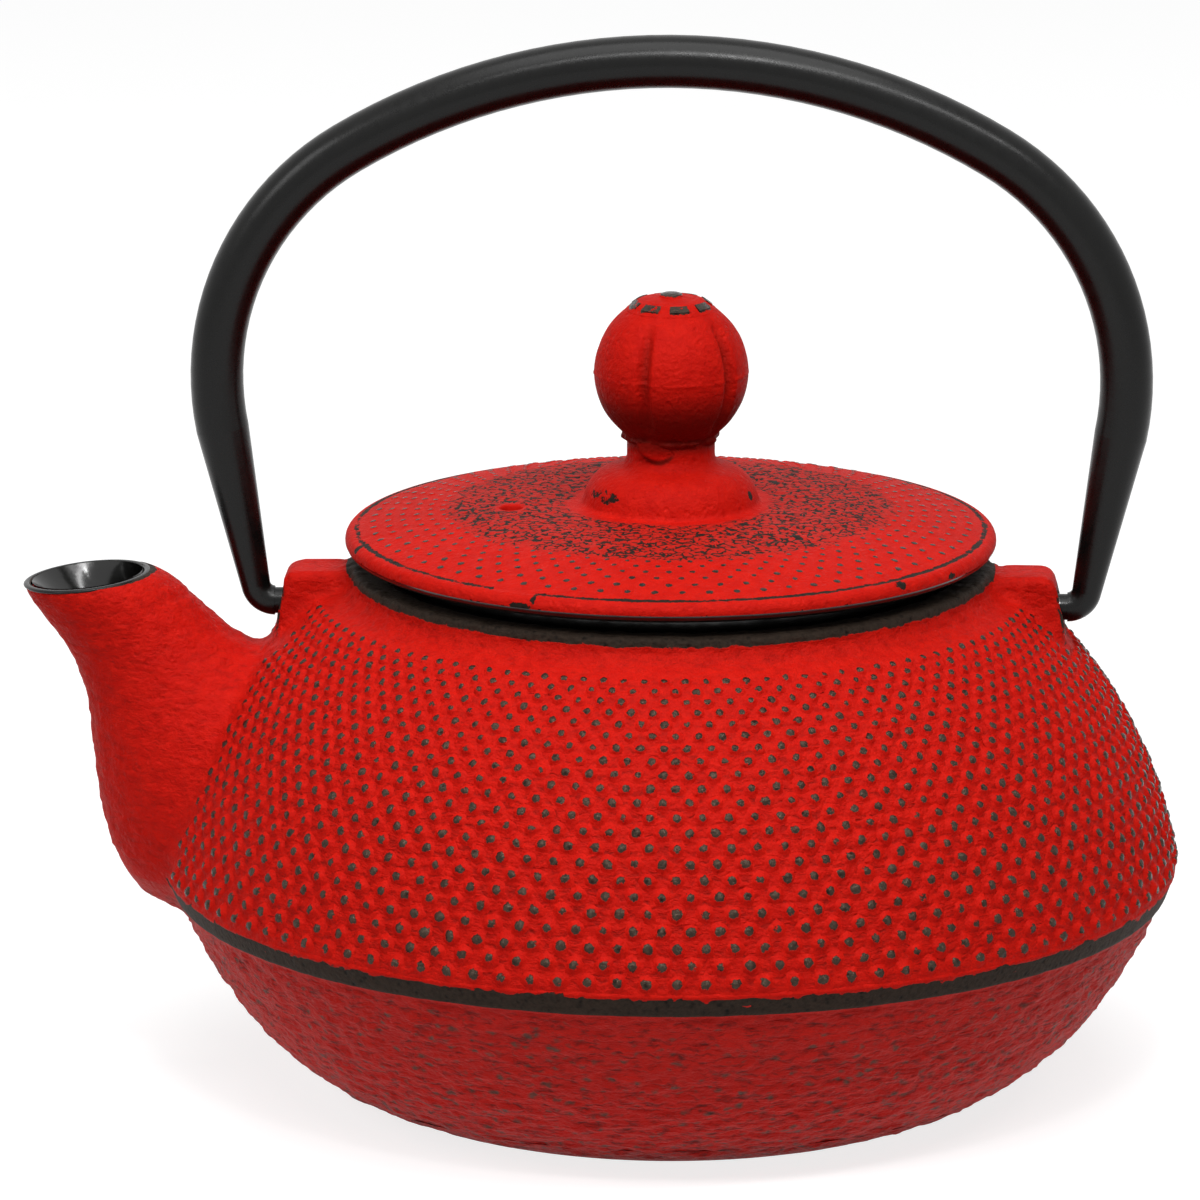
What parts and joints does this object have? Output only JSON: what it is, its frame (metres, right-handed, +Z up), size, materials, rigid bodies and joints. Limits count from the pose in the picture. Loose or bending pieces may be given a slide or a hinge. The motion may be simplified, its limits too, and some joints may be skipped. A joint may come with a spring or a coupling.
{
  "type": "cast-iron teapot",
  "caption": "Round cast-iron teapot with a hobnail shoulder, a hollow spout, a loose lid with a ball knob, a mesh infuser inside and a bail handle that swings in two ears.",
  "frame": {"origin": "centre of the flat base, on the surface that the pot stands on", "axes": "+Z up, the spout points along -X, and the bail swings about the X axis"},
  "size_m": [0.1767, 0.155, 0.1635],
  "materials": {
    "red_iron": "satin red paint over sand-cast iron, worn to dark metal on the nails and edges, black enamel inside",
    "black_bail": "satin black",
    "steel": "satin",
    "steel_mesh": "fine woven mesh"
  },
  "bodies": {
    "pot": {"pot_floor": "red_iron", "pot_bowl": "red_iron", "pot_shoulder": "red_iron", "pot_mouth": "red_iron", "spout": "red_iron", "spout_side_ear": "red_iron", "far_side_ear": "red_iron"},
    "infuser": {"infuser_rim": "steel", "infuser_wall": "steel_mesh", "infuser_floor": "steel_mesh", "infuser_hoop": "steel"},
    "lid": {"lid": "red_iron", "lid_knob": "red_iron", "knob_screw": "steel", "knob_washer": "steel"},
    "bail": {"bail_handle": "black_bail"}
  },
  "joints": [
    {"name": "bail_swing", "type": "hinge", "parent": "pot", "child": "bail", "pos_m": [0, 0, 0.0753], "axis": [1, 0, 0], "range_deg": [-108, 108]},
    {"name": "infuser_lift", "type": "slide", "parent": "pot", "child": "infuser", "axis": [0, 0, 1], "range_m": [0, 0.03]},
    {"name": "lid_lift", "type": "slide", "parent": "infuser", "child": "lid", "axis": [0, 0, 1], "range_m": [0, 0.03]}
  ]
}
